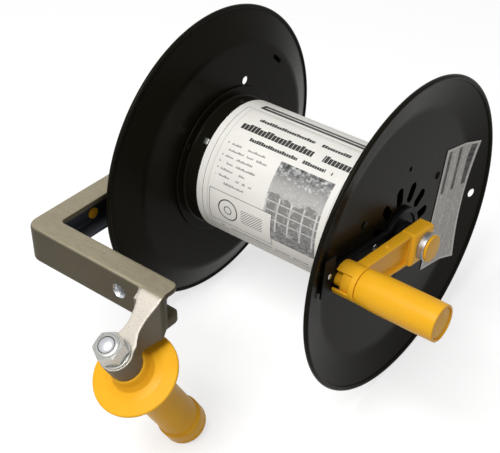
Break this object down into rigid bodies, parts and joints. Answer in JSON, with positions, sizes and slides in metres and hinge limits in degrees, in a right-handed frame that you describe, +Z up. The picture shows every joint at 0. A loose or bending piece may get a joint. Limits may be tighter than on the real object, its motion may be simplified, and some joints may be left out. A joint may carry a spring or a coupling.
{
  "type": "electric fence reel",
  "caption": "Hand-held reel for electric fence wire: a flanged drum on a one-sided cast frame with a hand grip, and a crank whose peg drives the drum.",
  "frame": {"origin": "on the floor that both flange rims and the hand grip's end stand on, under the middle of the reel's box", "axes": "+X along the drum's axle towards the crank, +Y from the hand grip towards the drum, +Z up"},
  "size_m": [0.3106, 0.3655, 0.254],
  "materials": {
    "black_enamel": "glossy black enamel",
    "black_plastic": "moulded, satin",
    "label_paper": "coated cream paper",
    "sticker_film": "pale grey film",
    "cast_aluminium": "as cast, lightly ground",
    "zinc_steel": "zinc plated",
    "yellow_plastic": "moulded, semi-gloss",
    "pale_nylon": "moulded, satin"
  },
  "bodies": {
    "frame": {"frame_casting": "cast_aluminium", "axle": "zinc_steel", "axle_washer": "zinc_steel", "axle_nut": "zinc_steel", "crank_collar": "zinc_steel", "axle_end_cap": "yellow_plastic", "arm_plug": "yellow_plastic", "hand_grip": "yellow_plastic", "grip_bolt": "zinc_steel", "bolt_washer": "zinc_steel", "bolt_nut": "zinc_steel"},
    "cartridge": {"drum_core": "black_enamel", "drum_label": "label_paper", "wire_tab": "zinc_steel", "left_flange": "black_enamel", "right_flange": "black_enamel", "left_rivet_1": "black_enamel", "left_rivet_2": "black_enamel", "left_rivet_3": "black_enamel", "right_rivet_1": "black_enamel", "right_rivet_2": "black_enamel", "right_rivet_3": "black_enamel", "left_hub_bush": "black_plastic", "right_hub_bush": "black_plastic", "drive_bar": "black_plastic", "inner_drive_screw": "zinc_steel", "outer_drive_screw": "zinc_steel", "flange_sticker": "sticker_film"},
    "crank": {"crank_arm": "yellow_plastic", "crank_bush": "pale_nylon"},
    "drive_peg": {"drive_peg": "yellow_plastic", "grip_washer": "zinc_steel", "grip_screw": "zinc_steel"},
    "crank_grip": {"crank_grip": "yellow_plastic", "grip_end_cap": "yellow_plastic"}
  },
  "joints": [
    {"name": "drum_spin", "type": "hinge", "parent": "frame", "child": "cartridge", "pos_m": [-0.01672, 0.05592, 0.127], "axis": [1, 0, 0], "continuous": true},
    {"name": "crank_spin", "type": "hinge", "parent": "frame", "child": "crank", "pos_m": [0.0868, 0.05592, 0.127], "axis": [1, 0, 0], "continuous": true},
    {"name": "peg_pull", "type": "slide", "parent": "crank", "child": "drive_peg", "axis": [1, 0, 0], "range_m": [0, 0.012]},
    {"name": "grip_spin", "type": "hinge", "parent": "drive_peg", "child": "crank_grip", "pos_m": [0.12378, -0.02343, 0.14113], "axis": [1, 0, 0], "continuous": true}
  ],
  "couplings": [
    {"joint": "crank_spin", "follows": "drum_spin", "ratio": 1}
  ]
}
